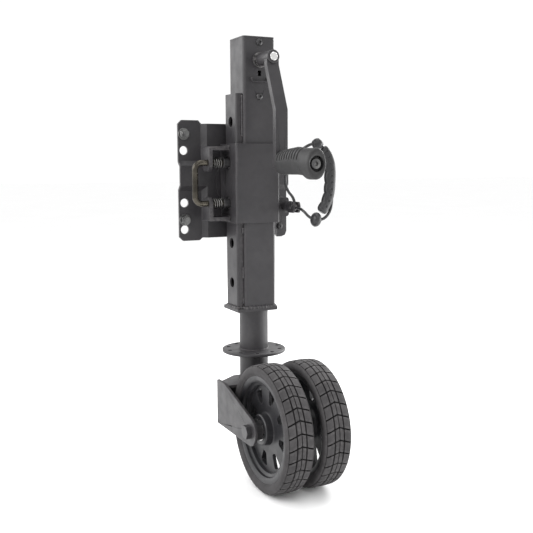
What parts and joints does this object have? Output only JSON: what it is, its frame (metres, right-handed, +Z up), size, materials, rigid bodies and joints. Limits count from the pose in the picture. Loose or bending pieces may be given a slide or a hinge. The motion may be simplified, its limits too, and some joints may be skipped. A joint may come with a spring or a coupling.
{
  "type": "trailer jack wheel",
  "caption": "Swing-up trailer jack: crank, sliding square mast with spring pins, swing lock with a pull loop, screw leg and a caster of solid rubber wheels.",
  "frame": {"origin": "midpoint between the open frame bolt holes of the bolt pattern, on the face of the mount plate that meets the trailer", "axes": "+Z up along the mast, +Y out of the mounting face into the trailer's rail, -Y to the crank, +X to the jack's right"},
  "size_m": [0.2761, 0.355, 0.8875],
  "materials": {
    "black_powder_coat": "satin black powder coat",
    "zinc_steel": "zinc plated",
    "bright_steel": "machined bright",
    "olive_zinc": "dark olive zinc plated rod",
    "black_oxide": "blackened steel",
    "spring_steel": "oiled spring wire",
    "bronze": "sintered bronze",
    "grip_plastic": "moulded matt black",
    "loop_rubber": "black rubber",
    "cable_coat": "black plastic-coated wire rope",
    "tyre_rubber": "solid rubber",
    "rim_plastic": "moulded satin black nylon"
  },
  "bodies": {
    "mount": {"mount_plate": "black_powder_coat", "mounting_studs": "zinc_steel", "stud_nuts": "zinc_steel", "foot_screws": "black_oxide", "pivot_bush": "bronze"},
    "bracket": {"slide_sleeve": "black_powder_coat", "lock_guide_bushes": "black_oxide", "turntable_disc": "black_powder_coat", "pivot_retainer": "zinc_steel", "retainer_screws": "black_oxide", "lock_lugs": "black_powder_coat", "swing_lock_block": "black_powder_coat", "swing_lock_bush": "bronze"},
    "lock_handle": {"lock_handle_rod": "olive_zinc", "lock_pins": "black_oxide", "lock_collars": "black_oxide", "upper_lock_spring": "spring_steel", "lower_lock_spring": "spring_steel"},
    "swing_plunger": {"swing_lock_pin": "bright_steel", "swing_lock_spring": "spring_steel", "pull_clevis": "black_powder_coat", "clevis_pin_and_ring": "black_oxide", "cable_eye": "black_oxide", "pull_cord": "cable_coat", "cord_balls": "loop_rubber", "pull_handle": "loop_rubber"},
    "mast": {"mast_tube": "black_powder_coat", "height_channel": "black_powder_coat", "mast_end_plate": "black_powder_coat", "mast_cap": "black_powder_coat", "gearbox_screws": "black_oxide", "crank_bushes": "black_oxide", "bearing_plate": "bright_steel", "thrust_bearing": "bright_steel"},
    "crank": {"crank_shaft": "bright_steel", "bevel_pinion": "bright_steel", "crank_hub": "black_powder_coat", "crank_arm": "black_powder_coat", "grip_bolt": "zinc_steel"},
    "grip": {"crank_grip": "grip_plastic"},
    "screw": {"lead_screw": "bright_steel", "bevel_gear": "bright_steel"},
    "leg": {"leg_tube": "black_powder_coat", "leg_nut": "bronze", "index_disc": "black_powder_coat"},
    "caster_fork": {"swivel_bearing": "bright_steel", "fork_stem": "black_powder_coat", "kingpin": "black_oxide", "kingpin_nut": "black_oxide", "fork_crown": "black_powder_coat", "fork_back_web": "black_powder_coat", "fork_side_plates": "black_powder_coat", "axle_bolt": "black_oxide", "axle_hardware": "black_oxide"},
    "left_wheel": {"left_tyre": "tyre_rubber", "left_rim": "rim_plastic", "left_wheel_bearings": "bright_steel"},
    "right_wheel": {"right_tyre": "tyre_rubber", "right_rim": "rim_plastic", "right_wheel_bearings": "bright_steel"}
  },
  "joints": [
    {"name": "swing_up", "type": "hinge", "parent": "mount", "child": "bracket", "pos_m": [0.13, -0.016, -0.012], "axis": [0, -1, 0], "range_deg": [0, 90]},
    {"name": "lock_handle_pull", "type": "slide", "parent": "bracket", "child": "lock_handle", "axis": [1, 0, 0], "range_m": [0, 0.012], "stiffness_N_per_m": 1800, "springref_m": 0.03, "deforming": ["upper_lock_spring", "lower_lock_spring"]},
    {"name": "swing_lock_pull", "type": "slide", "parent": "bracket", "child": "swing_plunger", "axis": [0, 1, 0], "range_m": [0, 0.01], "stiffness_N_per_m": 1200, "springref_m": 0.025, "deforming": ["swing_lock_spring"]},
    {"name": "height_slide", "type": "slide", "parent": "bracket", "child": "mast", "axis": [0, 0, 1], "range_m": [-0.0823, 0.1646]},
    {"name": "crank_turn", "type": "hinge", "parent": "mast", "child": "crank", "pos_m": [0.13, -0.122, 0.232], "axis": [0, -1, 0], "range_deg": [-6480, 21600]},
    {"name": "grip_spin", "type": "hinge", "parent": "crank", "child": "grip", "pos_m": [0.13, -0.262, 0.025], "axis": [0, -1, 0], "continuous": true},
    {"name": "screw_turn", "type": "hinge", "parent": "mast", "child": "screw", "pos_m": [0.13, -0.062, 0.191], "axis": [0, 0, 1], "range_deg": [-4380, 14460]},
    {"name": "leg_extend", "type": "slide", "parent": "mast", "child": "leg", "axis": [0, 0, -1], "range_m": [-0.061, 0.201]},
    {"name": "caster_swivel", "type": "hinge", "parent": "leg", "child": "caster_fork", "pos_m": [0.13, -0.062, -0.37], "axis": [0, 0, 1], "continuous": true},
    {"name": "left_wheel_spin", "type": "hinge", "parent": "caster_fork", "child": "left_wheel", "pos_m": [0.0905, -0.225, -0.484], "axis": [1, 0, 0], "continuous": true},
    {"name": "right_wheel_spin", "type": "hinge", "parent": "caster_fork", "child": "right_wheel", "pos_m": [0.1695, -0.225, -0.484], "axis": [1, 0, 0], "continuous": true}
  ],
  "couplings": [
    {"joint": "screw_turn", "follows": "crank_turn", "ratio": 0.66667},
    {"joint": "leg_extend", "follows": "crank_turn", "m_per_rad": 0.00053052}
  ]
}
